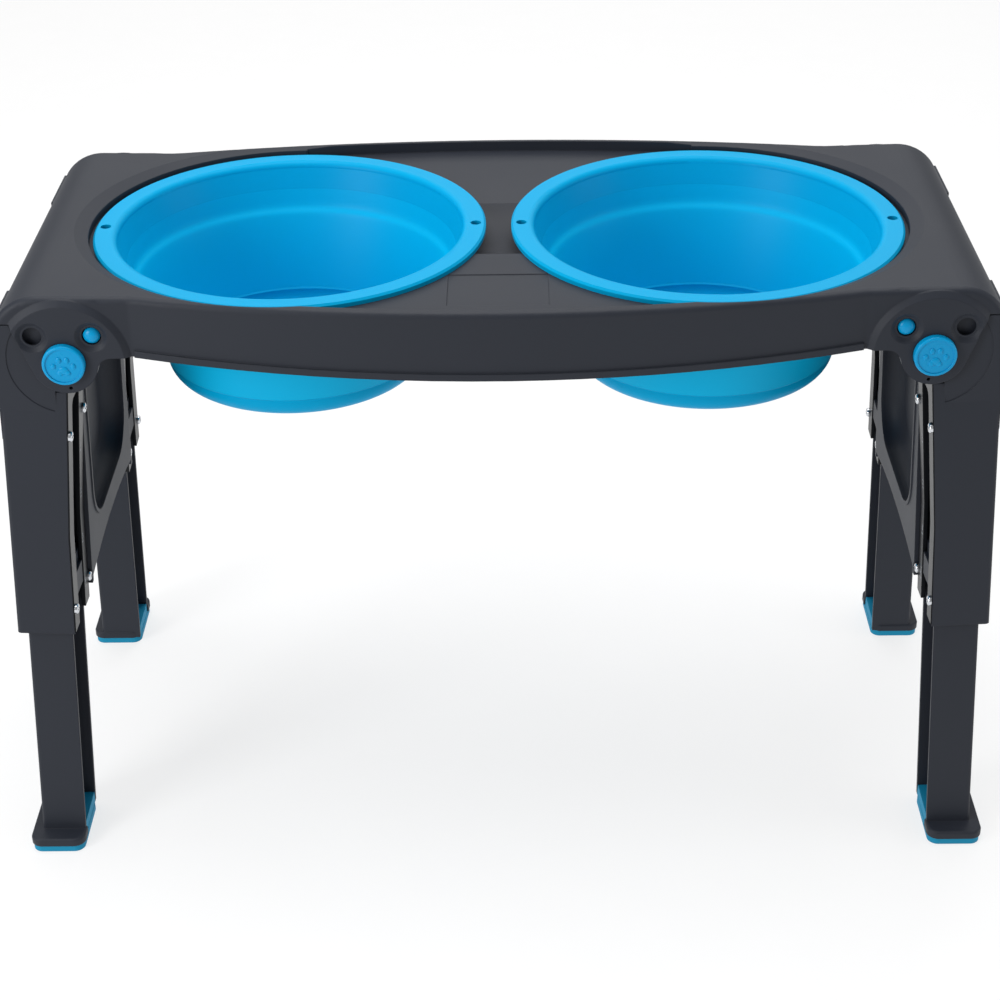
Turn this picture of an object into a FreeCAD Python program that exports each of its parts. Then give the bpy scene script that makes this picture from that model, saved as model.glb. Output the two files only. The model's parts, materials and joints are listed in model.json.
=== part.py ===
import FreeCAD, Part
import math
import os

# Folding double pet feeder. Lengths are in millimetres, angles in degrees.
# The feet stand on z = 0, the origin is midway between them, X runs across both bowls and -Y is the front.
# The front left corner is built first; the other corners are its mirror images.

# Layout around the bowls
rim_height = 358.0            # floor to the top of the bowl rims
rim_radius = 115.0
rim_gap = 14.8                # between the two rims
end_margin = 41.6             # rim to the end of the tray
corner_inset = 4.0            # hinge corners behind the fronts of the rims
bow_rise = 20.8               # bowed middle in front of the hinge corners
crease_inset = 78.0           # end of the tray to the crease where the bow starts
pivot_inset = 40.2            # end of the tray to the hinge line

# Tray
tray_rise = 5.0               # tray ends above the bowl rims
lip_dip = 2.2                 # the top sinks this far towards its middle
tray_wall = 3.0
end_round = 28.0              # top corner of each end, seen from the front
edge_round = 3.5              # along the front and rear top edges
crease_round = 10.0
skirt_drop = 42.0             # tray top to the lower edge of the skirt, in the middle
corner_drop = 35.5            # the same at the creases and the hinge corners
bead_height = 4.0             # thickened lower edge of the skirt
bead_proud = 1.2
bead_end_gap = 1.0            # bead stops short of the crease
end_wall_drop = 31.0          # lower edge of the end wall between the legs
end_wall_half = 58.0          # half of that wall's width
basin_drop = 3.5              # flat floor between the bowls, below the rim tops
recess_gap = 2.5              # around each rim
lip_width = 5.5               # border in front of and behind the floor between the bowls
collar_rise = 1.4             # recess edge above the rim
collar_width = 8.0            # sloping border around each recess
hole_inset = 11.0             # opening for each bowl, inside the rim's edge
label_half_width = 28.0       # plain sunk panel in front of the finger channel
label_front_inset = 10.0
label_length = 41.0
label_depth = 0.4
scoop_half_width = 16.0       # finger channel between the bowls
scoop_half_length = 38.0
scoop_depth = 14.0

# Hinge cheeks
pivot_drop = 38.0             # tray top to the hinge line
cheek_radius = 37.0
cheek_proud = 2.5             # in front of the corner wall
cheek_bevel = 3.5             # width of the sloping edge
cheek_inner = 3.2             # corner wall's front to the cheek's inner face
lobe_radius = 18.5            # cheek below the corner wall, around the button
boss_radius = 14.5            # tube on which the leg head turns
boss_bore = 11.9
boss_gap = 0.4                # tube ends this far short of the leg head's back
turn_clearance = 0.06
notch_knee = 28.1             # outward of the hinge line, top of the slanted seam
notch_height = 22.6           # seam above the hinge line
lobe_fillet = 8.0             # between the lobe and the corner wall's lower edge
lock_circle = 22.5            # hinge line to the lock pin
lock_angle = 43.5             # lock pin above the horizontal
dish_radius = 9.0
dish_floor_radius = 6.5
dish_depth = 2.0
lock_hole_radius = 5.3
lock_skin = 1.2               # cheek left between dish and groove
groove_half_width = 5.5       # groove in which the pin's nose swings
vent_radius = 1.0             # blind hole under the button
vent_drop = 15.3
vent_inward = 2.0
vent_depth = 2.4

# Leg frames
lean_angle = 2.7              # outward, along X
tilt_angle = 4.2              # outward, along Y
leg_inner = 4.4               # inner face of the guide plate's lower part, outward of the hinge line
leg_top_inner = 0.3           # the same at the top of the guide plate
leg_outer = 38.8
leg_depth = 46.0
leg_wall = 4.6
leg_drop = 175.0              # hinge line to the upper leg's lower end
leg_edge_round = 2.5
head_radius = 32.0
head_gap = 0.4                # cheek to leg head
head_thickness = 10.0
face_radius = 32.5            # shallow round step in the leg's front face
face_step = 0.35
face_gap = 0.5                # cheek to the leg's front face
kink_drop = 32.0              # where the leg starts to tilt forward
cap_top_drop = 30.0           # solid block that closes the top of the leg channel
cap_bottom_drop = 44.0
face_drop = 50.0              # upright front face ends inside the tilted leg
shoulder_height = 22.0
shoulder_inner = 20.0
web_inner = 2.0               # web between the two legs
web_wall = 3.0
web_top = 10.0                # above the hinge line
web_drop = 165.0
web_arch = 7.0                # rise of the web's lower edge
web_bite = 0.4                # web and its flanges run this far into the leg walls
web_flange = 6.0              # flange on the leg's back, outward of the guide plate
dip_margin = 10.0             # dished panel in the web, to the legs' backs
dip_top_drop = -4.0           # above the hinge line
dip_bottom_drop = 139.0
dip_depth = 13.0
dip_wall = 2.5
dip_corner = 26.0
dip_edge = 11.0
dip_lip = 0.8                 # raised border of the dished panel

# Slotted guide plates and their screws
plate_thickness = 2.5
plate_top_drop = 20.0
plate_wedge_drop = 112.0      # lower end of the sloping part
plate_end_gap = 1.0           # plate stops short of the leg's lower end
plate_edge_gap = 0.8          # plate stops short of the leg's rear face
lap_thickness = 0.8           # skin of the leg's front face over the plate's front edge
lap_inset = 0.6               # skin behind the plate's inner face
lap_gap = 0.3                 # skin to plate
slot_half_width = 10.0
slot_top_drop = 30.0          # the slot is open at its lower end
screw_radius = 1.25
screw_hole_radius = 1.3
screw_head_radius = 3.0
screw_head_height = 2.2
screw_head_round = 1.2
screw_length = 10.0
screw_top_drop = 48.0
screw_bottom_rise = 16.0      # lower screws above the leg's lower end
screw_seat_radius = 3.4       # flat sunk seat around each head
cross_half = 1.9              # crossed recess in the screw heads
cross_width = 0.8
cross_depth = 1.1

# Lower legs and feet
slide_gap = 0.4               # between lower and upper leg
lower_wall = 2.6
lower_top_drop = 135.0        # hinge line to the lower leg's top, fully out
lower_edge_round = 2.0
bridge_length = 27.0          # bridge that carries the height catch, below the lower leg's top
catch_start = 7.0             # catch below the lower leg's top
catch_length = 14.0
catch_gap = 1.0               # catch to the sides of the slot
catch_inset = 0.6             # catch below the plate's inner face
pad_height = 4.5
foot_height = 5.0
foot_front = 11.0             # flange in front of the lower leg
foot_rear = 1.0
foot_outer = 6.0
foot_inner = 1.0
foot_round = 7.0
foot_edge = 1.5
pad_inset = 0.8
plug_height = 7.0             # pad inside the hollow leg
plug_gap = 0.3

# Locks
button_radius = 11.8
button_proud = 4.0            # in front of the cheek
button_edge = 1.2
button_border = 0.6           # raised ring around the button's face
button_dish = 0.6
pin_radius = 4.75
pin_hole_radius = 4.85
pin_nose = 2.2                # pin's reach into the groove
pin_round = 1.0
arm_gap = 0.3                 # leg head to the arm behind it
arm_thickness = 3.5
arm_hub_radius = 11.0
arm_half_width = 5.0
arm_end_radius = 6.0
spring_wire = 1.2
spring_radius = 8.6
spring_length = 8.2           # fully pressed
housing_depth = 20.4
housing_wall = 2.0
housing_hub_radius = 14.5
housing_end_radius = 7.5
lug_radius = 4.4
lug_reach = 19.5
lug_thickness = 4.4

# Bowls; insets are measured inwards from the rim's edge
rim_thickness = 3.5
rim_edge = 1.2
flare_inset = 10.0             # flat of the rim
flare_middle_inset = 12.6
flare_middle_drop = 1.0
throat_inset = 13.8           # inside of the wall under the flare
throat_drop = 3.8
neck_inset = 11.4             # outside of the wall under the rim
rim_hole_radius = 3.1
rim_hole_inset = 6.0
bowl_wall = 2.4
stiff_inset = 15.6            # outside of the wall at the end of the stiff part
stiff_drop = 16.0             # rim top to the end of the stiff part
band_inset = 35.1             # outside of the flexible wall's lower end
band_drop = 75.0
base_inset = 36.0
base_round = 13.0
base_drop = 89.0

big = 900.0                   # reach of cutting blocks
hair = 0.01                   # tolerance for finding edges

# Derived levels and places
tray_top = rim_height + tray_rise
seat_height = rim_height - rim_thickness
basin_height = rim_height - basin_drop
bowl_x = rim_radius + rim_gap / 2
tray_width = 2 * (bowl_x + rim_radius + end_margin)
tray_depth = 2 * (rim_radius - corner_inset)
bow_depth = tray_depth + 2 * bow_rise
bow_width = tray_width - 2 * crease_inset
recess_radius = rim_radius + recess_gap
hole_radius = rim_radius - hole_inset
pivot_x = tray_width / 2 - pivot_inset
pivot_z = tray_top - pivot_drop
wall_foot = pivot_drop - corner_drop
front_y = -tray_depth / 2
cheek_front_y = front_y - cheek_proud
cheek_back_y = front_y + cheek_inner
head_front_y = cheek_back_y + head_gap
head_back_y = head_front_y + head_thickness
leg_back_y = front_y + leg_depth
dip_half_width = -leg_back_y - dip_margin
screw_bottom_drop = leg_drop - screw_bottom_rise
channel_inner = leg_inner + plate_thickness
lower_inner = channel_inner + slide_gap
lower_outer = leg_outer - leg_wall - slide_gap
lower_front_y = front_y + leg_wall + slide_gap
lower_back_y = leg_back_y - leg_wall - slide_gap
lock_x = -pivot_x + lock_circle * math.cos(math.radians(lock_angle))
lock_z = pivot_z + lock_circle * math.sin(math.radians(lock_angle))

vector = FreeCAD.Vector
along_x = vector(1, 0, 0)
along_y = vector(0, 1, 0)
along_z = vector(0, 0, 1)
lean = FreeCAD.Placement(vector(), FreeCAD.Rotation(along_y, lean_angle), vector(-pivot_x, 0, pivot_z))
tilt = FreeCAD.Placement(vector(), FreeCAD.Rotation(along_x, -tilt_angle), vector(0, front_y, pivot_z - kink_drop))
stance = lean.multiply(tilt)


def block(x0, x1, y0, y1, z0, z1):
    return Part.makeBox(x1 - x0, y1 - y0, z1 - z0, vector(x0, y0, z0))


def leg_block(inner, outer, y0, y1, low_drop, high_drop):
    # outward distances and drops are measured from the hinge line
    return block(-pivot_x - outer, -pivot_x - inner, y0, y1, pivot_z - low_drop, pivot_z - high_drop)


def rod(x, z, y0, y1, radius):
    return Part.makeCylinder(radius, y1 - y0, vector(x, y0, z), along_y)


def post(x, y, z0, z1, radius):
    return Part.makeCylinder(radius, z1 - z0, vector(x, y, z0), along_z)


def bar(x0, z0, x1, z1, y0, y1, half_width):
    # flat bar between two points seen from the front
    length = math.hypot(x1 - x0, z1 - z0)
    angle = math.degrees(math.atan2(z1 - z0, x1 - x0))
    flat = block(0, length, y0, y1, -half_width, half_width)
    flat.rotate(vector(), along_y, -angle)
    flat.translate(vector(x0, 0, z0))
    return flat


def plate_from(points, y0, y1):
    # points are (outward, above) pairs from the hinge line
    corners = [vector(-pivot_x - w, y0, pivot_z + h) for w, h in points]
    face = Part.Face(Part.makePolygon(corners + corners[:1]))
    return face.extrude(vector(0, y1 - y0, 0))


def leaned(outward, above):
    # a point of the leaning leg, as an (outward, above) pair
    angle = math.radians(lean_angle)
    return (outward * math.cos(angle) - above * math.sin(angle), above * math.cos(angle) + outward * math.sin(angle))


def turned(shape, place):
    return shape.transformed(place.toMatrix(), True)


def middle(edge):
    return edge.valueAt((edge.FirstParameter + edge.LastParameter) / 2)


def rounded(shape, radius, wanted):
    return shape.makeFillet(radius, [edge for edge in shape.Edges if wanted(edge)])


def parallel(edge, direction):
    first = edge.Vertexes[0].Point
    last = edge.Vertexes[-1].Point
    return (last - first).cross(direction).Length < hair and (last - first).Length > hair


def plan(inset, z0, z1):
    # outline of the tray seen from above
    end = tray_width / 2 - inset
    side = tray_depth / 2 - inset
    bow = bow_depth / 2 - inset
    crease = bow_width / 2
    edges = []
    for sign in (-1, 1):
        start = vector(sign * end, sign * side, z0)
        first = vector(sign * crease, sign * side, z0)
        last = vector(-sign * crease, sign * side, z0)
        corner = vector(-sign * end, sign * side, z0)
        edges.append(Part.makeLine(start, first))
        edges.append(Part.Arc(first, vector(0, sign * bow, z0), last).toShape())
        edges.append(Part.makeLine(last, corner))
        edges.append(Part.makeLine(corner, vector(-sign * end, -sign * side, z0)))
    return Part.Face(Part.Wire(edges)).extrude(vector(0, 0, z1 - z0))


def end_profile(inset, z0):
    # the tray's rounded ends and slightly sunk top, seen from the front
    half = tray_width / 2 - inset
    top = tray_top - inset
    radius = end_round - inset
    reach = half - radius
    sag_radius = (reach * reach + lip_dip * lip_dip) / (2 * lip_dip) - radius
    slope = math.asin(reach / (sag_radius + radius))
    centre_z = top - radius
    join_x = reach - radius * math.sin(slope)
    join_z = centre_z + radius * math.cos(slope)
    turn = (math.radians(90) + slope) / 2
    side_x = reach + radius * math.cos(turn)
    side_z = centre_z + radius * math.sin(turn)
    left = vector(-half, -big, z0)
    right = vector(half, -big, z0)
    edges = [
        Part.makeLine(left, vector(-half, -big, centre_z)),
        Part.Arc(vector(-half, -big, centre_z), vector(-side_x, -big, side_z),
                 vector(-join_x, -big, join_z)).toShape(),
        Part.Arc(vector(-join_x, -big, join_z), vector(0, -big, top - lip_dip), vector(join_x, -big, join_z)).toShape(),
        Part.Arc(vector(join_x, -big, join_z), vector(side_x, -big, side_z), vector(half, -big, centre_z)).toShape(),
        Part.makeLine(vector(half, -big, centre_z), right),
        Part.makeLine(right, left),
    ]
    return Part.Face(Part.Wire(edges)).extrude(vector(0, 2 * big, 0))


def both_ends(shape):
    return [shape, shape.mirror(vector(), along_x)]


def four_corners(shape):
    rear = shape.mirror(vector(), along_y)
    return both_ends(shape) + both_ends(rear)


def skirt_cylinder(lift):
    # the skirt's lower edge is a shallow arc seen from the front
    rise = skirt_drop - corner_drop
    crease = bow_width / 2
    radius = (crease * crease + rise * rise) / (2 * rise)
    return rod(0, tray_top - skirt_drop + radius + lift, -big, big, radius)


def seam_foot():
    # where the slanted seam meets the round lobe, as an (outward, above) pair
    reach = math.hypot(notch_knee, notch_height)
    angle = math.atan2(notch_height, notch_knee) - math.acos(lobe_radius / reach)
    return (lobe_radius * math.cos(angle), lobe_radius * math.sin(angle))


def seam_at(above):
    # outward place of the slanted seam at a height
    foot = seam_foot()
    share = (notch_height - above) / (notch_height - foot[1])
    return notch_knee + (foot[0] - notch_knee) * share


def notch():
    # corner of the tray that the leg's shoulder fills
    foot = seam_foot()
    points = [(leg_outer + leg_depth, notch_height), (notch_knee, notch_height), foot,
              (foot[0], -leg_depth), (leg_outer + leg_depth, -leg_depth)]
    return plate_from(points, cheek_front_y - leg_depth, -end_wall_half)


def cheek():
    disc = rod(-pivot_x, pivot_z, front_y, cheek_back_y, cheek_radius)
    disc = disc.fuse(Part.makeCone(cheek_radius - cheek_bevel, cheek_radius, cheek_proud,
                                   vector(-pivot_x, cheek_front_y, pivot_z), along_y))
    disc = disc.cut(block(-big, big, -big, big, -big, tray_top - corner_drop))
    disc = disc.cut(notch())
    lobe = rod(-pivot_x, pivot_z, cheek_front_y, cheek_back_y, lobe_radius)
    boss = rod(-pivot_x, pivot_z, cheek_front_y, head_back_y - boss_gap, boss_radius)
    outer_fill = plate_from([(seam_at(wall_foot), wall_foot), seam_foot(), (0, 0), (0, wall_foot)],
                            cheek_front_y, cheek_back_y)
    drop = lobe_fillet - wall_foot
    reach = math.sqrt((lobe_radius + lobe_fillet) * (lobe_radius + lobe_fillet) - drop * drop)
    inner_fill = plate_from([(0, wall_foot), (-reach, wall_foot), (-reach, -drop), (0, 0)], cheek_front_y, cheek_back_y)
    inner_fill = inner_fill.cut(rod(-pivot_x + reach, pivot_z - drop, cheek_front_y, cheek_back_y, lobe_fillet))
    return disc.fuse([lobe, boss, outer_fill, inner_fill])


def cheek_holes():
    skin_y = cheek_front_y + dish_depth + lock_skin
    bore = rod(-pivot_x, pivot_z, cheek_front_y - leg_depth, head_back_y, boss_bore)
    ring = rod(-pivot_x, pivot_z, skin_y, head_front_y, lock_circle + groove_half_width)
    ring = ring.cut(rod(-pivot_x, pivot_z, skin_y, head_front_y, lock_circle - groove_half_width))
    ring = ring.common(block(-big, big, -big, big, pivot_z + notch_height / 4, big))
    vent = rod(-pivot_x + vent_inward, pivot_z - vent_drop, cheek_front_y, cheek_front_y + vent_depth, vent_radius)
    cuts = [bore, ring, vent]
    for x in (lock_x, -2 * pivot_x - lock_x):
        cuts.append(rod(x, lock_z, cheek_front_y, head_front_y, lock_hole_radius))
        cuts.append(Part.makeCone(dish_radius, dish_floor_radius, dish_depth,
                                  vector(x, cheek_front_y, lock_z), along_y))
    return cuts


def make_tray():
    low = tray_top - skirt_drop - bead_height
    outer = plan(0, low, tray_top + bead_height)

    def in_crease(edge):
        return parallel(edge, along_z) and abs(abs(middle(edge).x) - bow_width / 2) < hair

    def on_rim(edge):
        place = middle(edge)
        on_top = place.z > tray_top - lip_dip - hair
        on_end = abs(place.x) > tray_width / 2 - end_round + hair and place.z > low + hair
        return abs(place.y) > tray_depth / 2 - hair and (on_top or on_end)

    outer = rounded(outer, crease_round, in_crease)
    outer = outer.common(end_profile(0, low))
    outer = rounded(outer, edge_round, on_rim)

    hollow = plan(tray_wall, low - bead_height, tray_top).common(end_profile(tray_wall, low - bead_height))
    basin = block(-bowl_x, bowl_x, -bow_depth, bow_depth, basin_height - tray_wall, tray_top)
    rings = both_ends(post(-bowl_x, 0, seat_height - tray_wall, tray_top, recess_radius + tray_wall))
    hollow = hollow.cut([basin] + rings)
    tray = outer.cut(hollow)

    channel_radius = (scoop_half_length * scoop_half_length + scoop_depth * scoop_depth) / (2 * scoop_depth)
    channel_z = basin_height - scoop_depth + channel_radius
    channel = Part.makeCylinder(channel_radius, 2 * scoop_half_width, vector(-scoop_half_width, 0, channel_z), along_x)
    trough = Part.makeCylinder(channel_radius + tray_wall, 2 * scoop_half_width + 2 * tray_wall,
                               vector(-scoop_half_width - tray_wall, 0, channel_z), along_x)
    trough = trough.common(block(-big, big, -big, big, -big, basin_height))
    tray = tray.fuse(trough)

    floor = block(-bowl_x, bowl_x, -bow_depth, bow_depth, basin_height, big)
    openings = [floor.common(plan(lip_width, basin_height, big))]
    openings += both_ends(post(-bowl_x, 0, seat_height, big, recess_radius))
    openings += both_ends(post(-bowl_x, 0, -big, big, hole_radius))
    collar = Part.makeCone(recess_radius, recess_radius + 2 * collar_width, 2 * (tray_rise - collar_rise),
                           vector(-bowl_x, 0, rim_height + collar_rise), along_z)
    openings += both_ends(collar)
    label_front = label_front_inset - recess_radius
    openings.append(block(-label_half_width, label_half_width, label_front, label_front + label_length,
                          basin_height - label_depth, big))
    tray = tray.cut(openings)
    tray = tray.cut(channel)

    crease = bow_width / 2
    under = block(-crease, crease, -bow_depth, bow_depth, low - bead_height, tray_top - corner_drop)
    under = under.cut(skirt_cylinder(0))
    corner = block(-tray_width, -crease, -bow_depth, -end_wall_half, low - bead_height, tray_top - corner_drop)
    end = block(-tray_width, -crease, -end_wall_half, end_wall_half, low - bead_height, tray_top - end_wall_drop)
    tray = tray.cut([under] + four_corners(corner) + both_ends(end) + four_corners(notch()))

    bead = plan(-bead_proud, low, tray_top).cut(plan(tray_wall, low, tray_top))
    bead = bead.common(block(bead_end_gap - crease, crease - bead_end_gap, -bow_depth, bow_depth, low, tray_top))
    bead = bead.common(skirt_cylinder(0)).cut(skirt_cylinder(bead_height))
    tray = tray.fuse(bead)
    tray = tray.fuse(four_corners(cheek()))
    cuts = []
    for shape in cheek_holes():
        cuts += four_corners(shape)
    return tray.cut(cuts).removeSplitter()


def plate_outline(inset, bite, low_drop):
    # the guide plate as seen from the front; inset pulls in its inner face, bite moves its outer face outward
    return [(channel_inner + bite, -plate_top_drop), (channel_inner + bite, -low_drop), (leg_inner + inset, -low_drop),
            (leg_inner + inset, -plate_wedge_drop), (leg_top_inner + inset, -plate_top_drop)]


def front_lap():
    lap = plate_from(plate_outline(lap_inset, lap_thickness, leg_drop), front_y, front_y + lap_thickness)
    return turned(lap, stance)


def leg_shell():
    head = rod(-pivot_x, pivot_z, head_front_y, head_back_y, head_radius)
    head = head.cut(leg_block(-2 * head_radius, leg_inner, head_front_y, head_back_y, 2 * head_radius, -wall_foot))
    hub = rod(-pivot_x, pivot_z, head_front_y, head_back_y, lobe_radius - face_gap)
    side = [(leg_outer, shoulder_height), leaned(leg_outer, 0), leaned(leg_outer, -cap_bottom_drop)]
    inner_low = leaned(leg_inner, -cap_bottom_drop)
    neck = plate_from([(shoulder_inner, shoulder_height)] + side + [inner_low, leaned(leg_inner, -shoulder_inner)],
                      head_front_y, head_back_y)
    wall = plate_from([(leg_outer - leg_wall, shoulder_height)] + side
                      + [leaned(leg_outer - leg_wall, -cap_bottom_drop), leaned(leg_outer - leg_wall, 0)],
                      head_front_y, leg_back_y)
    cap = plate_from([leaned(leg_inner, -cap_top_drop), leaned(leg_outer, -cap_top_drop),
                      leaned(leg_outer, -cap_bottom_drop), inner_low], head_front_y, leg_back_y)
    foot = seam_foot()
    face = plate_from([(seam_at(shoulder_height) + face_gap, shoulder_height), (leg_outer, shoulder_height),
                       leaned(leg_outer, 0), leaned(leg_outer, -face_drop), leaned(leg_inner, -face_drop),
                       leaned(leg_inner, -leg_inner), (foot[0] + face_gap, foot[1])], front_y, head_front_y)
    face = face.cut([rod(-pivot_x, pivot_z, front_y, head_front_y, lobe_radius + face_gap),
                     rod(-pivot_x, pivot_z, front_y, front_y + face_step, face_radius)])

    channel = leg_block(channel_inner, leg_outer, front_y, leg_back_y, leg_drop, kink_drop)

    def on_outer(edge):
        return parallel(edge, along_z) and abs(middle(edge).x + pivot_x + leg_outer) < hair

    channel = rounded(channel, leg_edge_round, on_outer)
    channel = channel.cut(leg_block(0, leg_outer - leg_wall, front_y + leg_wall, leg_back_y - leg_wall,
                                    leg_drop + leg_wall, cap_bottom_drop))
    channel = turned(channel, stance)
    clear = turned(leg_block(0, leg_outer - leg_wall, front_y + leg_wall, leg_back_y - leg_wall,
                             leg_drop, cap_bottom_drop), stance)
    plate_room = turned(leg_block(-leg_depth, channel_inner, front_y - leg_depth, leg_back_y + leg_depth,
                                  leg_drop, plate_top_drop - plate_end_gap), stance)
    shell = head.fuse([hub, neck, wall, cap, face, channel])
    shell = shell.cut([clear, plate_room]).fuse(front_lap())
    shell = shell.cut([rod(-pivot_x, pivot_z, head_front_y - leg_depth, head_back_y, boss_radius + turn_clearance),
                       rod(lock_x, lock_z, head_front_y, head_back_y, pin_hole_radius)])
    for x, z in lug_places():
        shell = shell.cut(rod(x, z, head_back_y + lug_thickness - screw_length - slide_gap, head_back_y,
                              screw_hole_radius))
    return shell


def soft_block(half_width, top_drop, bottom_drop, inner, outer, corner, edge_radius):
    # rounded panel standing between the legs; its outer edges are softened
    panel = leg_block(inner, outer, -half_width, half_width, bottom_drop, top_drop)
    panel = rounded(panel, corner, lambda edge: parallel(edge, along_x))
    if edge_radius > 0:
        panel = rounded(panel, edge_radius, lambda edge: abs(middle(edge).x + pivot_x + outer) < hair)
    return panel


def web():
    spread = math.tan(math.radians(tilt_angle))
    top_half = -leg_back_y + web_bite
    low_half = top_half + (web_drop - kink_drop) * spread
    head_half = top_half - (web_top + kink_drop) * spread
    x = -pivot_x - web_inner - web_wall
    low_z = pivot_z - web_drop
    left = vector(x, -low_half, low_z)
    right = vector(x, low_half, low_z)
    edges = [
        Part.Arc(left, vector(x, 0, low_z + web_arch), right).toShape(),
        Part.makeLine(right, vector(x, top_half, pivot_z - kink_drop)),
        Part.makeLine(vector(x, top_half, pivot_z - kink_drop), vector(x, head_half, pivot_z + web_top)),
        Part.makeLine(vector(x, head_half, pivot_z + web_top), vector(x, -head_half, pivot_z + web_top)),
        Part.makeLine(vector(x, -head_half, pivot_z + web_top), vector(x, -top_half, pivot_z - kink_drop)),
        Part.makeLine(vector(x, -top_half, pivot_z - kink_drop), left),
    ]
    panel = Part.Face(Part.Wire(edges)).extrude(vector(web_wall, 0, 0))
    outside = soft_block(dip_half_width + dip_wall, dip_top_drop - dip_wall, dip_bottom_drop + dip_wall,
                         web_inner - dip_lip, web_inner + dip_depth + dip_wall, dip_corner + dip_wall,
                         dip_edge + dip_wall)
    inside = soft_block(dip_half_width, dip_top_drop, dip_bottom_drop, web_inner - dip_lip, web_inner + dip_depth,
                        dip_corner, dip_edge)
    return turned(panel.fuse(outside).cut(inside), lean)


def web_flange_block():
    return turned(leg_block(web_inner, channel_inner + web_flange, leg_back_y - web_bite, leg_back_y + web_wall,
                            web_drop, plate_top_drop), stance)


def make_leg_frame():
    half = leg_shell().fuse(web_flange_block())
    frame = half.fuse([half.mirror(vector(), along_y), web()])
    for hole in plate_screw_rods(screw_hole_radius, slide_gap) + head_seats():
        front_hole = turned(hole, stance)
        frame = frame.cut([front_hole, front_hole.mirror(vector(), along_y)])
    return frame.removeSplitter()


def plate_face(drop):
    # inner face of the guide plate at a drop below the hinge line, outward of it
    share = min(1, (drop - plate_top_drop) / (plate_wedge_drop - plate_top_drop))
    return leg_top_inner + (leg_inner - leg_top_inner) * share


def screw_seat(drop):
    return plate_face(drop + screw_seat_radius)


def plate_screw_places():
    near = front_y + screw_head_radius
    far = leg_back_y - leg_wall / 2
    return [(y, drop) for y in (near, far) for drop in (screw_top_drop, screw_bottom_drop)]


def plate_screw_rods(radius, extra):
    rods = []
    for y, drop in plate_screw_places():
        start = vector(-pivot_x - screw_seat(drop), y, pivot_z - drop)
        rods.append(Part.makeCylinder(radius, screw_length + extra, start, vector(-1, 0, 0)))
    return rods


def head_seats():
    # room for the screw heads, down to their flat seats
    rods = []
    for y, drop in plate_screw_places():
        start = vector(-pivot_x - screw_seat(drop), y, pivot_z - drop)
        rods.append(Part.makeCylinder(screw_seat_radius, leg_depth, start, along_x))
    return rods


def make_guide_plate():
    plate = plate_from(plate_outline(0, 0, leg_drop - plate_end_gap),
                       front_y + lap_thickness + lap_gap, leg_back_y - plate_edge_gap)
    slot_y = (front_y + leg_back_y) / 2
    slot = leg_block(-leg_outer, leg_outer, slot_y - slot_half_width, slot_y + slot_half_width,
                     2 * leg_drop, slot_top_drop)
    slot = rounded(slot, slot_half_width / 2, lambda edge: parallel(edge, along_x))
    plate = plate.cut([slot] + plate_screw_rods(screw_hole_radius, 0) + head_seats())
    return turned(plate, stance)


def screw(radius, length):
    # pan-head screw along -X, head's underside at the origin
    head = Part.makeCylinder(screw_head_radius, screw_head_height, vector(), along_x)
    head = rounded(head, screw_head_round, lambda edge: abs(middle(edge).x - screw_head_height) < hair
                   and edge.Closed)
    for half_y, half_z in ((cross_half, cross_width / 2), (cross_width / 2, cross_half)):
        head = head.cut(block(screw_head_height - cross_depth, screw_head_height + cross_depth,
                              -half_y, half_y, -half_z, half_z))
    return head.fuse(Part.makeCylinder(radius, length, vector(), vector(-1, 0, 0)))


def plate_screws():
    made = []
    for y, drop in plate_screw_places():
        one = screw(screw_radius, screw_length)
        one.translate(vector(-pivot_x - screw_seat(drop), y, pivot_z - drop))
        made.append(turned(one, stance))
    return made


def leg_at_height(outward, y, z):
    # where a line along the leaning leg crosses a level
    axis = stance.Rotation.multVec(along_z)
    start = stance.multVec(vector(-pivot_x - outward, y, pivot_z - leg_drop))
    return start + axis * ((z - start.z) / axis.z)


def foot_outline(inset, z0, z1):
    front_outer = leg_at_height(lower_outer, lower_front_y, pad_height)
    back_inner = leg_at_height(lower_inner, lower_back_y, pad_height)
    slab = block(front_outer.x - foot_outer + inset, back_inner.x + foot_inner - inset,
                 front_outer.y - foot_front + inset, back_inner.y + foot_rear - inset, z0, z1)
    return rounded(slab, foot_round - inset, lambda edge: parallel(edge, along_z))


def lower_hollow(gap):
    # open inside of the lower leg, longer than the leg at its lower end
    return turned(leg_block(lower_inner - leg_wall + gap, lower_outer - lower_wall - gap,
                            lower_front_y + lower_wall + gap, lower_back_y - lower_wall - gap,
                            big, lower_top_drop + bridge_length), stance)


def make_lower_leg():
    leg = leg_block(lower_inner, lower_outer, lower_front_y, lower_back_y, rim_height, lower_top_drop)

    def on_outer(edge):
        return parallel(edge, along_z) and abs(middle(edge).x + pivot_x + lower_outer) < hair

    leg = rounded(leg, lower_edge_round, on_outer)
    slot_y = (front_y + leg_back_y) / 2
    top_room = leg_block(lower_inner + lower_wall, lower_outer - lower_wall, lower_front_y + lower_wall,
                         lower_back_y - lower_wall, lower_top_drop + bridge_length, lower_top_drop - lower_wall)
    catch = leg_block(leg_inner + catch_inset, lower_inner, slot_y - slot_half_width + catch_gap,
                      slot_y + slot_half_width - catch_gap, lower_top_drop + catch_start + catch_length,
                      lower_top_drop + catch_start)
    leg = turned(leg.cut(top_room).fuse(catch), stance)
    flange = foot_outline(0, pad_height, pad_height + foot_height)
    flange = rounded(flange, foot_edge, lambda edge: abs(middle(edge).z - pad_height - foot_height) < hair)
    leg = leg.cut(block(-big, big, -big, big, -big, pad_height))
    return leg.fuse(flange).cut(lower_hollow(0)).removeSplitter()


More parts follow.
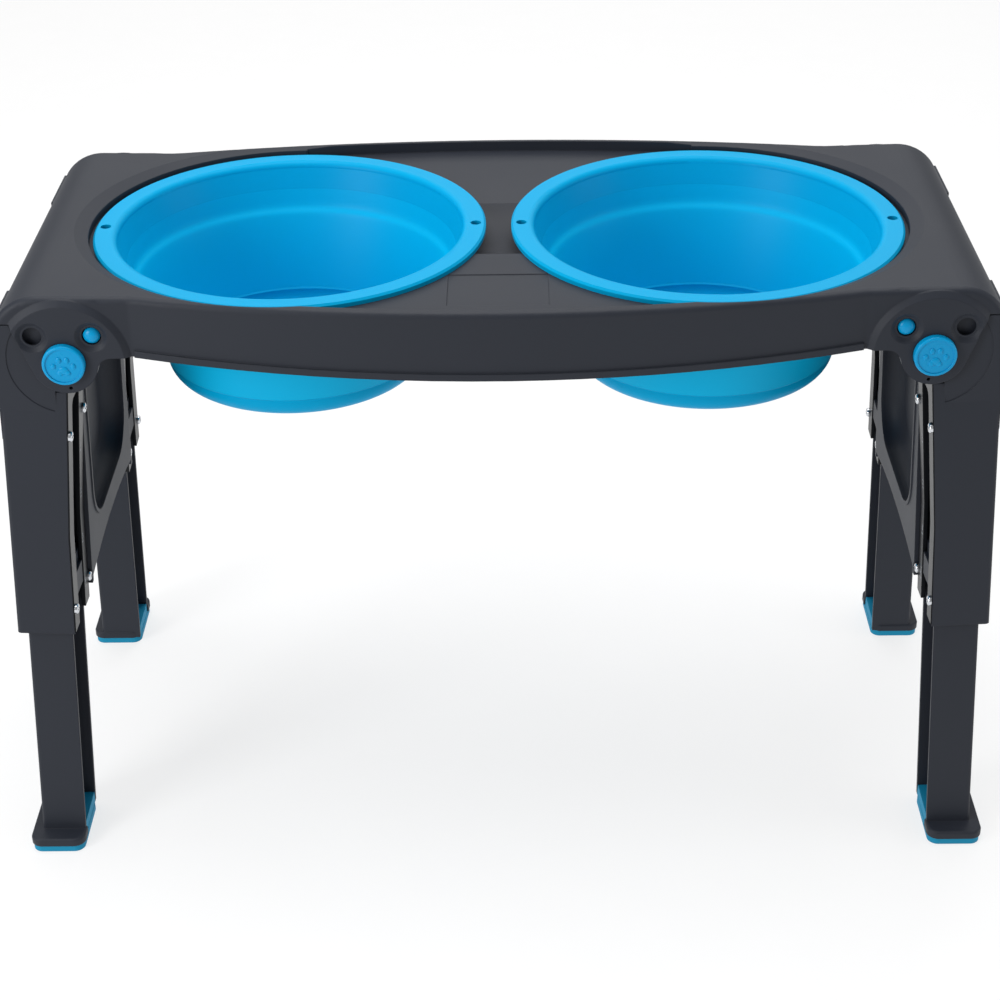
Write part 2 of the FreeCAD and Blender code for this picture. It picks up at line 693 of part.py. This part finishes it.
def make_foot_pad():
    plug_low = lower_hollow(plug_gap)
    inner_edge = leg_at_height(lower_inner, lower_back_y, pad_height).x
    plug = plug_low.common(block(-big, inner_edge, -big, big, pad_height, pad_height + plug_height))
    return foot_outline(pad_inset, 0, pad_height).fuse(plug).removeSplitter()


def make_lock_button():
    front = cheek_front_y - button_proud
    arm_front = head_back_y + arm_gap
    arm_back = arm_front + arm_thickness
    cap = rod(-pivot_x, pivot_z, front, arm_back, button_radius)
    cap = rounded(cap, button_edge, lambda edge: edge.Closed and abs(middle(edge).y - front) < hair)
    cap = cap.cut(rod(-pivot_x, pivot_z, front, front + button_dish, button_radius - button_edge - button_border))
    hub = rod(-pivot_x, pivot_z, arm_front, arm_back, arm_hub_radius)
    end = rod(lock_x, lock_z, arm_front, arm_back, arm_end_radius)
    arm = bar(-pivot_x, pivot_z, lock_x, lock_z, arm_front, arm_back, arm_half_width)
    nose = cheek_back_y - pin_nose
    pin = rod(lock_x, lock_z, nose, arm_front, pin_radius)
    pin = rounded(pin, pin_round, lambda edge: edge.Closed and abs(middle(edge).y - nose) < hair)
    return cap.fuse([hub, end, arm, pin]).removeSplitter()


def make_lock_spring():
    # the hidden coil as a plain sleeve, fully pressed against the housing's back
    seat = head_back_y + housing_depth - housing_wall
    sleeve = rod(-pivot_x, pivot_z, seat - spring_length, seat, spring_radius)
    return sleeve.cut(rod(-pivot_x, pivot_z, seat - spring_length, seat, spring_radius - spring_wire))


def lug_places():
    places = []
    for turn in (90, 180):
        angle = math.radians(lock_angle + turn)
        places.append((-pivot_x + lug_reach * math.cos(angle), pivot_z + lug_reach * math.sin(angle)))
    return places


def housing_body(y0, y1, grow):
    hub = rod(-pivot_x, pivot_z, y0, y1, housing_hub_radius + grow)
    end = rod(lock_x, lock_z, y0, y1, housing_end_radius + grow)
    arm = bar(-pivot_x, pivot_z, lock_x, lock_z, y0, y1, housing_end_radius + grow)
    return hub.fuse([end, arm])


def make_lock_housing():
    back = head_back_y + housing_depth
    shell = housing_body(head_back_y, back, housing_wall)
    for x, z in lug_places():
        shell = shell.fuse(rod(x, z, head_back_y, head_back_y + lug_thickness, lug_radius))
    shell = shell.cut(housing_body(head_back_y, back - housing_wall, 0))
    for x, z in lug_places():
        shell = shell.cut(rod(x, z, head_back_y, head_back_y + lug_thickness, screw_hole_radius))
    return shell.removeSplitter()


def housing_screws():
    made = []
    for x, z in lug_places():
        one = screw(screw_radius, screw_length)
        one.rotate(vector(), along_z, 90)
        one.translate(vector(x, head_back_y + lug_thickness, z))
        made.append(one)
    return made


def spun(edges):
    # solid of revolution about the bowl's axis
    return Part.Face(Part.Wire(edges)).revolve(vector(), along_z, 360)


def line(r0, z0, r1, z1):
    return Part.makeLine(vector(r0, 0, z0), vector(r1, 0, z1))


def polyline(points):
    edges = []
    for (r0, z0), (r1, z1) in zip(points, points[1:]):
        edges.append(line(r0, z0, r1, z1))
    return edges


def at_left_bowl(shape):
    shape.translate(vector(-bowl_x, 0, 0))
    return shape


def make_bowl_rim():
    top = rim_height
    stiff_z = top - stiff_drop
    flat = rim_radius - flare_inset
    throat = rim_radius - throat_inset
    throat_z = top - throat_drop
    stiff = rim_radius - stiff_inset
    neck = rim_radius - neck_inset
    flare = Part.Arc(vector(flat, 0, top), vector(rim_radius - flare_middle_inset, 0, top - flare_middle_drop),
                     vector(throat, 0, throat_z)).toShape()
    edges = [flare] + polyline([
        (throat, throat_z), (stiff - bowl_wall, stiff_z), (stiff, stiff_z),
        (neck, seat_height),
        (rim_radius, seat_height), (rim_radius, top - rim_edge), (rim_radius - rim_edge, top), (flat, top),
    ])
    rim = spun(edges)
    for sign in (-1, 1):
        rim = rim.cut(post(sign * (rim_radius - rim_hole_inset), 0, seat_height - rim_thickness, top + rim_thickness,
                           rim_hole_radius))
    return at_left_bowl(rim)


def make_bowl_band():
    stiff_z = rim_height - stiff_drop
    band_z = rim_height - band_drop
    upper = rim_radius - stiff_inset
    lower = rim_radius - band_inset
    points = [(upper, stiff_z), (lower, band_z), (lower - bowl_wall, band_z), (upper - bowl_wall, stiff_z),
              (upper, stiff_z)]
    return at_left_bowl(spun(polyline(points)))


def quarter(centre_r, centre_z, radius):
    # rounded lower corner, from the side to the floor
    share = math.sin(math.radians(45))
    return Part.Arc(vector(centre_r + radius, 0, centre_z),
                    vector(centre_r + radius * share, 0, centre_z - radius * share),
                    vector(centre_r, 0, centre_z - radius)).toShape()


def make_bowl_base():
    band_z = rim_height - band_drop
    low = rim_height - base_drop
    band_radius = rim_radius - band_inset
    base_radius = rim_radius - base_inset
    centre_r = base_radius - base_round
    centre_z = low + base_round
    inner = base_round - bowl_wall
    edges = [
        line(band_radius, band_z, base_radius, centre_z),
        quarter(centre_r, centre_z, base_round),
        line(centre_r, low, 0, low),
        line(0, low, 0, low + bowl_wall),
        line(0, low + bowl_wall, centre_r, low + bowl_wall),
        quarter(centre_r, centre_z, inner),
        line(base_radius - bowl_wall, centre_z, band_radius - bowl_wall, band_z),
        line(band_radius - bowl_wall, band_z, band_radius, band_z),
    ]
    return at_left_bowl(spun(edges))


def save(name, shape):
    shape.exportStep("parts/" + name + ".step")


os.makedirs("parts", exist_ok=True)
corner_names = ("front_left", "front_right", "rear_left", "rear_right")

save("tray", make_tray())
for side, shape in zip(("left", "right"), both_ends(make_leg_frame())):
    save(side + "_leg_frame", shape)
for makers in (("guide_plate", make_guide_plate), ("lower_leg", make_lower_leg), ("foot_pad", make_foot_pad),
               ("lock_button", make_lock_button), ("lock_spring", make_lock_spring),
               ("lock_housing", make_lock_housing)):
    for corner_name, shape in zip(corner_names, four_corners(makers[1]())):
        save(corner_name + "_" + makers[0], shape)
for group_name, front_screws in (("guide_screws", plate_screws()), ("housing_screws", housing_screws())):
    group = front_screws + [one.mirror(vector(), along_y) for one in front_screws]
    for side, shape in zip(("left", "right"), both_ends(Part.makeCompound(group))):
        save(side + "_" + group_name, shape)
for node, maker in (("bowl_rim", make_bowl_rim), ("bowl_band", make_bowl_band), ("bowl_base", make_bowl_base)):
    for side, shape in zip(("left", "right"), both_ends(maker())):
        save(side + "_" + node, shape)
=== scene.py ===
import bpy
import bmesh
import json
import math
from mathutils import Matrix, Vector


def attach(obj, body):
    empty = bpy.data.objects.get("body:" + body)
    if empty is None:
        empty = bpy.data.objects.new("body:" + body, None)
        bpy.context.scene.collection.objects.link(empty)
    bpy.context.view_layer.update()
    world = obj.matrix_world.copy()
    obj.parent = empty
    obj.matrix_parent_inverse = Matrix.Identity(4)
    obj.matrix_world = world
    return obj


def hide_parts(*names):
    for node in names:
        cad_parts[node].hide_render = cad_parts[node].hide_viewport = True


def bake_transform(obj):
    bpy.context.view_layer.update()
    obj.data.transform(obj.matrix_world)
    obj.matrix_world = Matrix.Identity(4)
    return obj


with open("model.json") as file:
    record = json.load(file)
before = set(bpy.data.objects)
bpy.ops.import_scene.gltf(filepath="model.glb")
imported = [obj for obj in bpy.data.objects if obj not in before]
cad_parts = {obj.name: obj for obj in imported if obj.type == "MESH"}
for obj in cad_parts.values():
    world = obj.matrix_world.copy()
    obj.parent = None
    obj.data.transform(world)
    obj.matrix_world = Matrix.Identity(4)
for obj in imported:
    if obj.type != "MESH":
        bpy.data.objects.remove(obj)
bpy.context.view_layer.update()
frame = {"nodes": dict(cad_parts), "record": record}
nodes = frame["nodes"]

# the feeder's lengths are written in millimetres, the studio's in metres
MM_IN_METRE = 1000
MM = 1 / MM_IN_METRE
SIDES = {"left": -1, "right": 1}
ENDS = {"front": -1, "rear": 1}
HINGE_X = 238.8
HINGE_Z = 325.0
PIVOT = Vector((HINGE_X, 0.0, HINGE_Z)) * MM
BOWL_X = 122.4 * MM


def colour(code):
    """Linear colour from an sRGB hex code."""
    channels = [int(code[i:i + 2], 16) / 255 for i in (1, 3, 5)]
    return [c / 12.92 if c <= 0.04045 else ((c + 0.055) / 1.055) ** 2.4 for c in channels] + [1.0]


class Finish:
    """A material whose nodes are added and wired one at a time."""

    def __init__(self, name, specular=0.5, metallic=0.0):
        self.material = bpy.data.materials.new(name)
        self.material.use_nodes = True
        self.tree = self.material.node_tree
        self.surface = self.tree.nodes["Principled BSDF"]
        self.surface.inputs["Specular IOR Level"].default_value = specular
        self.surface.inputs["Metallic"].default_value = metallic
        self.place = self.add("ShaderNodeTexCoord").outputs["Object"]

    def add(self, kind, wires=(), **values):
        """Adds a node, sets its values and wires other nodes' outputs into it."""
        node = self.tree.nodes.new(kind)
        for key, value in values.items():
            if hasattr(node, key):
                setattr(node, key, value)
            else:
                node.inputs[key.replace("_", " ")].default_value = value
        for source, target in wires:
            self.tree.links.new(source, node.inputs[target])
        return node

    def wire(self, source, target):
        """Wires an output into the surface itself."""
        self.tree.links.new(source, self.surface.inputs[target])

    def grain(self, size_mm, depth_mm, strength, edge_mm):
        """Moulded grain of a given size over edges that are softened by a given radius."""
        noise = self.add("ShaderNodeTexNoise", [(self.place, "Vector")],
                         Scale=MM_IN_METRE / size_mm, Detail=3.0, Roughness=0.6)
        soft = self.add("ShaderNodeBevel", samples=4, Radius=edge_mm * MM)
        wires = [(noise.outputs["Fac"], "Height"), (soft.outputs["Normal"], "Normal")]
        bump = self.add("ShaderNodeBump", wires, Strength=strength, Distance=depth_mm * MM)
        self.wire(bump.outputs["Normal"], "Normal")

    def mottle(self, size_mm, colours, roughness):
        """Slow drift between two colours and two roughnesses, as a large moulding shows."""
        noise = self.add("ShaderNodeTexNoise", [(self.place, "Vector")],
                         Scale=MM_IN_METRE / size_mm, Detail=4.0)
        tint = self.add("ShaderNodeMix", [(noise.outputs["Fac"], "Factor")], data_type="RGBA")
        tint.inputs["A"].default_value = colour(colours[0])
        tint.inputs["B"].default_value = colour(colours[1])
        gloss = self.add("ShaderNodeMapRange", [(noise.outputs["Fac"], "Value")],
                         To_Min=roughness[0], To_Max=roughness[1])
        self.wire(tint.outputs["Result"], "Base Color")
        self.wire(gloss.outputs["Result"], "Roughness")


# spark-eroded mould: an even satin grey with a fine grain, drawn coarser than life so that it shows
charcoal = Finish("charcoal polypropylene, moulded grain", specular=0.3)
charcoal.grain(size_mm=0.9, depth_mm=0.1, strength=0.22, edge_mm=0.9)
charcoal.mottle(size_mm=70, colours=("#20242d", "#242831"), roughness=(0.5, 0.6))

# smooth sliding faces with faint streaks along their edges; their nearly black colour, darker than
# the legs' own plastic, is painted shade
polished_painted_shade = Finish("charcoal polypropylene, polished slides, painted shade", specular=0.2)
polished_painted_shade.grain(size_mm=3.0, depth_mm=0.1, strength=0.04, edge_mm=0.7)
# these near-black tones are painted shade, not the plastic's own colour
polished_painted_shade.mottle(size_mm=50, colours=("#0e1014", "#131519"), roughness=(0.3, 0.4))

# hidden housings: one dull black with a moulded grain
black = Finish("black polypropylene, moulded")
black.surface.inputs["Base Color"].default_value = colour("#151517")
black.surface.inputs["Roughness"].default_value = 0.6
black.grain(size_mm=1.2, depth_mm=0.1, strength=0.2, edge_mm=0.4)

# polished mould: a clear even blue with soft long highlights
bowl_blue = Finish("blue polypropylene, satin moulded", specular=0.05)
bowl_blue.grain(size_mm=2.5, depth_mm=0.1, strength=0.05, edge_mm=0.1)
bowl_blue.mottle(size_mm=90, colours=("#0098c9", "#009ccd"), roughness=(0.33, 0.4))

# elastomer wall: the same blue, a little lighter and duller
soft_blue = Finish("blue thermoplastic rubber, smooth moulded", specular=0.08)
soft_blue.grain(size_mm=2.0, depth_mm=0.1, strength=0.05, edge_mm=0.1)
soft_blue.mottle(size_mm=60, colours=("#00a7d6", "#00abda"), roughness=(0.36, 0.44))

# smooth button plastic with soft highlights on its edges
button_blue = Finish("blue acetal, satin moulded", specular=0.2)
button_blue.grain(size_mm=1.2, depth_mm=0.05, strength=0.05, edge_mm=0.3)
button_blue.mottle(size_mm=12, colours=("#0090c6", "#0094ca"), roughness=(0.24, 0.32))

# soft pads: dusty blue with hardly any highlights
pad_blue = Finish("blue rubber, matte moulded", specular=0.2)
pad_blue.grain(size_mm=0.8, depth_mm=0.1, strength=0.3, edge_mm=0.6)
pad_blue.mottle(size_mm=15, colours=("#1083a8", "#158ab0"), roughness=(0.55, 0.68))

# bright plated heads with a faint fine grain
steel = Finish("zinc plated steel, turned", metallic=1.0)
steel.grain(size_mm=0.35, depth_mm=0.05, strength=0.2, edge_mm=0.2)
steel.mottle(size_mm=3, colours=("#cdd0d5", "#dcdee2"), roughness=(0.15, 0.28))

# pad-printed ink, slightly uneven
ink = Finish("grey white printed ink", specular=0.3)
ink.mottle(size_mm=1.5, colours=("#9b9ea4", "#b6b9be"), roughness=(0.55, 0.65))

# the guide plates are of the legs' plastic, but smooth, and drawn darker as painted shade
slot_finishes = {
    "charcoal_plastic": charcoal, "black_plastic": black, "blue_plastic": button_blue,
    "bowl_plastic": bowl_blue, "bowl_rubber": soft_blue, "blue_rubber": pad_blue,
    "bright_steel": steel,
}
for entry in frame["record"]["subparts"]:
    mesh = nodes[entry["node"]].data
    mesh.materials.clear()
    # guide plates take the smooth finish whose darker colour is painted shade
    plate = entry["node"].endswith("guide_plate")
    mesh.materials.append((polished_painted_shade if plate else slot_finishes[entry["material_slot"]]).material)


SHARP_ANGLE = math.radians(40)


def piece(name, shape, finish):
    """Mesh object from a bmesh that is already in place."""
    bmesh.ops.recalc_face_normals(shape, faces=shape.faces)
    mesh = bpy.data.meshes.new(name)
    shape.to_mesh(mesh)
    shape.free()
    mesh.materials.append(finish.material)
    mesh.shade_smooth()
    mesh.set_sharp_from_angle(angle=SHARP_ANGLE)
    made = bpy.data.objects.new(name, mesh)
    bpy.context.scene.collection.objects.link(made)
    return made


def bubble(shape, place, radii, segments):
    """Adds an ellipsoid to a bmesh."""
    size = Matrix.Diagonal((*radii, 1.0))
    bmesh.ops.create_uvsphere(shape, u_segments=segments, v_segments=segments // 2, radius=1.0,
                              matrix=Matrix.Translation(place) @ size)


# flexible wall of a bowl: (radius, height) of its outer face, with a soft step under the stiff rim
WALL_OUTSIDE = (
    (99.4, 342.0), (98.5, 338.0), (97.7, 334.5), (97.1, 332.0), (96.4, 330.5), (95.5, 329.4),
    (94.6, 328.4), (93.9, 327.0), (93.2, 325.0), (92.0, 321.5), (86.6, 304.5), (79.9, 283.0),
)
WALL_THICKNESS = 2.4
WALL_STEPS = 128
MERGE_DISTANCE = 0.01 * MM


def bowl_wall(side):
    """Soft cone with one rounded step."""
    outside = [Vector((radius, 0.0, height)) * MM for radius, height in WALL_OUTSIDE]
    inside = [point - Vector((WALL_THICKNESS, 0.0, 0.0)) * MM for point in reversed(outside)]
    shape = bmesh.new()
    ring = [shape.verts.new(point) for point in outside + inside]
    loop = [shape.edges.new(pair) for pair in zip(ring, ring[1:] + ring[:1])]
    bmesh.ops.spin(shape, geom=ring + loop, cent=(0, 0, 0), axis=(0, 0, 1), angle=2 * math.pi,
                   steps=WALL_STEPS, use_merge=True)
    bmesh.ops.remove_doubles(shape, verts=shape.verts, dist=MERGE_DISTANCE)
    centre = SIDES[side] * BOWL_X
    bmesh.ops.translate(shape, verts=shape.verts, vec=(centre, 0, 0))
    made = piece(f"{side}_bowl_wall", shape, soft_blue)
    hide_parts(f"{side}_bowl_band")
    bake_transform(made)


# lock: a paw's parts are (across, above, half width, half height), from the hinge line
CHEEK_Y = 113.5 * MM
BUTTON_PROUD = 3.4 * MM
BUTTON_FACE_Y = CHEEK_Y + BUTTON_PROUD
PAW_TOES = (
    (-5.5, -0.2, 1.5, 1.8), (-2.2, 3.4, 1.5, 1.9), (2.2, 3.4, 1.5, 1.9), (5.5, -0.2, 1.5, 1.8),
)
PAW_PADS = ((0.0, -2.8, 2.8, 2.4), (-2.0, -4.2, 1.8, 1.6), (2.0, -4.2, 1.8, 1.6))
PAW_RELIEF = 0.9
PAW_SEGMENTS = 24
LOCK_CIRCLE = 22.5 * MM
LOCK_ANGLE = math.radians(43.5)
NOSE_Y = 109.9 * MM
NOSE_RADII = Vector((4.8, 3.4, 4.8)) * MM
NOSE_SEGMENTS = 40


def paw_marks(side, end):
    """Raised paw on a button's face: four toes and a pad of three lobes."""
    shape = bmesh.new()
    for across, above, half_width, half_height in PAW_TOES + PAW_PADS:
        place = (SIDES[side] * PIVOT.x + across * MM, ENDS[end] * BUTTON_FACE_Y,
                 PIVOT.z + above * MM)
        radii = Vector((half_width, PAW_RELIEF, half_height)) * MM
        bubble(shape, place, radii, PAW_SEGMENTS)
    return piece(f"{end}_{side}_paw", shape, button_blue)


def pin_nose(side, end):
    """Domed nose of the lock pin in its dished hole."""
    shape = bmesh.new()
    across = LOCK_CIRCLE * math.cos(LOCK_ANGLE)
    above = LOCK_CIRCLE * math.sin(LOCK_ANGLE)
    place = (SIDES[side] * (PIVOT.x - across), ENDS[end] * NOSE_Y, PIVOT.z + above)
    bubble(shape, place, NOSE_RADII, NOSE_SEGMENTS)
    return piece(f"{end}_{side}_pin_nose", shape, button_blue)


# height marks on the front left leg's guide plate, placed as if the leg were upright and then
# leaned with it; the other legs' marks are mirrored from these
LEAN = math.radians(2.7)
TILT = math.radians(4.2)
KINK_Y = -111.0
KINK_DROP = 32.0
KINK = Vector((0.0, KINK_Y, HINGE_Z - KINK_DROP)) * MM
RAIL_Y = -75.2
MARK_DROPS = (68.0, 98.0, 128.0, 158.0)
PLATE_TOP_DROP = 20.0
PLATE_WEDGE_DROP = 112.0
PLATE_TOP_FACE = 0.3
PLATE_LOW_FACE = 4.4
SLOPE_STEP = 1.0
INK_LIFT = 0.03
FIGURE_SIZE = 5.0
FIGURE_HALF_THICKNESS = 0.04
LINE_BELOW = 3.6
LINE_SIZE = Vector((3.2, 0.5, 0.08)) * MM
# a figure's own X, Y and Z run along the feeder's Y, Z and X
FACING = Matrix(((0, 0, 1, 0), (1, 0, 0, 0), (0, 1, 0, 0), (0, 0, 0, 1)))


def about(turn, centre):
    """A turn about a point."""
    return Matrix.Translation(centre) @ turn @ Matrix.Translation(-centre)


STANCE = (about(Matrix.Rotation(LEAN, 4, "Y"), Vector((-PIVOT.x, 0, PIVOT.z)))
          @ about(Matrix.Rotation(-TILT, 4, "X"), KINK))


def plate_face(drop):
    """Outward place of a guide plate's inner face at a drop below the hinge line."""
    share = min(1.0, (drop - PLATE_TOP_DROP) / (PLATE_WEDGE_DROP - PLATE_TOP_DROP))
    return PLATE_TOP_FACE + (PLATE_LOW_FACE - PLATE_TOP_FACE) * share


def numeral(text):
    """Flat figure in the XY plane, as a mesh."""
    curve = bpy.data.curves.new("height figure", "FONT")
    curve.body = text
    curve.size = FIGURE_SIZE * MM
    curve.align_x = "CENTER"
    curve.align_y = "CENTER"
    curve.extrude = FIGURE_HALF_THICKNESS * MM
    holder = bpy.data.objects.new("height figure", curve)
    mesh = bpy.data.meshes.new_from_object(holder)
    bpy.data.objects.remove(holder)
    bpy.data.curves.remove(curve)
    return mesh


def height_marks(side, end):
    """A short line and a figure at each height step, printed on the rail beside the slot."""
    shape = bmesh.new()
    mirror = Matrix.Diagonal((-SIDES[side], -ENDS[end], 1.0, 1.0))
    flip = Matrix.Diagonal((SIDES[side] * ENDS[end], 1.0, 1.0, 1.0))
    line = Matrix.Translation((0, -LINE_BELOW * MM, 0)) @ Matrix.Diagonal((*LINE_SIZE, 1.0))
    for number, drop in enumerate(MARK_DROPS, 1):
        rise = plate_face(drop + SLOPE_STEP) - plate_face(drop - SLOPE_STEP)
        slope = math.atan2(rise, 2 * SLOPE_STEP)
        across = -PIVOT.x - (plate_face(drop) - INK_LIFT) * MM
        place = Matrix.Translation((across, RAIL_Y * MM, PIVOT.z - drop * MM))
        face = mirror @ STANCE @ place @ Matrix.Rotation(slope, 4, "Y") @ FACING
        mesh = numeral(str(number))
        mesh.transform(face @ flip)
        shape.from_mesh(mesh)
        bpy.data.meshes.remove(mesh)
        bmesh.ops.create_cube(shape, size=1.0, matrix=face @ line)
    return piece(f"{end}_{side}_height_marks", shape, ink)


for side in SIDES:
    bowl_wall(side)
    for end in ENDS:
        for mark in (paw_marks(side, end), pin_nose(side, end)):
            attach(mark, f"{end}_{side}_lock")
        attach(height_marks(side, end), f"{side}_stand")


# studio: each softbox is (name, place, target, size, power)
FLOOR_HALF = 6.0
FLOOR_GLOW = 0.72
WORLD_STRENGTH = 0.35
SOFTBOXES = (
    ("overhead softbox", (-0.1, 0.2, 2.2), (0, 0, 0.3), (1.8, 1.4), 38),
    ("back softbox", (0.0, 2.2, 1.7), (0, 0, 0.3), (3.0, 1.4), 16),
    ("left softbox", (-1.2, -1.0, 0.8), (-0.1, 0, 0.25), (0.6, 0.8), 14),
    ("right fill", (1.5, -0.2, 0.5), (-0.24, 0, 0.2), (0.8, 0.6), 4),
)
CAMERA_PLACE = Vector((0.0101, -1.1226, 0.8272))
CAMERA_LOOK = Vector((-0.0090, 0.8625, -0.5060))
CAMERA_ROLL = math.radians(-0.87)
CAMERA_LENS = 73.8
CAMERA_SENSOR = 36.0


def studio_floor():
    """Grey paper that glows, so that it shows white and still takes a shadow."""
    shape = bmesh.new()
    bmesh.ops.create_grid(shape, x_segments=1, y_segments=1, size=FLOOR_HALF)
    paper = Finish("white studio paper, lit from below", specular=0.1)
    paper.mottle(size_mm=40, colours=("#888888", "#8c8c8c"), roughness=(0.88, 0.92))
    paper.surface.inputs["Emission Color"].default_value = colour("#ffffff")
    paper.surface.inputs["Emission Strength"].default_value = FLOOR_GLOW
    piece("studio_floor", shape, paper)


def softbox(name, place, target, size, power):
    """Rectangular lamp that faces a target."""
    light = bpy.data.lights.new(name, "AREA")
    light.shape = "RECTANGLE"
    light.size, light.size_y = size
    light.energy = power
    lamp = bpy.data.objects.new(name, light)
    lamp.location = place
    lamp.rotation_euler = (Vector(target) - Vector(place)).to_track_quat("-Z", "Y").to_euler()
    bpy.context.scene.collection.objects.link(lamp)


def studio_light():
    """Even white surroundings and the softboxes."""
    world = bpy.data.worlds.new("white studio")
    bpy.context.scene.world = world
    world.use_nodes = True
    background = world.node_tree.nodes["Background"]
    background.inputs["Color"].default_value = colour("#ffffff")
    background.inputs["Strength"].default_value = WORLD_STRENGTH
    for lamp in SOFTBOXES:
        softbox(*lamp)
    bpy.context.scene.view_settings.view_transform = "Standard"


def photo_camera():
    """Camera that sees the feeder from where the photo was taken."""
    data = bpy.data.cameras.new("photo camera")
    data.lens = CAMERA_LENS
    data.sensor_width = CAMERA_SENSOR
    camera = bpy.data.objects.new("photo camera", data)
    turn = CAMERA_LOOK.to_track_quat("-Z", "Y").to_matrix().to_4x4()
    roll = Matrix.Rotation(CAMERA_ROLL, 4, "Z")
    camera.matrix_world = Matrix.Translation(CAMERA_PLACE) @ turn @ roll
    bpy.context.scene.collection.objects.link(camera)
    bpy.context.scene.camera = camera


studio_floor()
studio_light()
photo_camera()
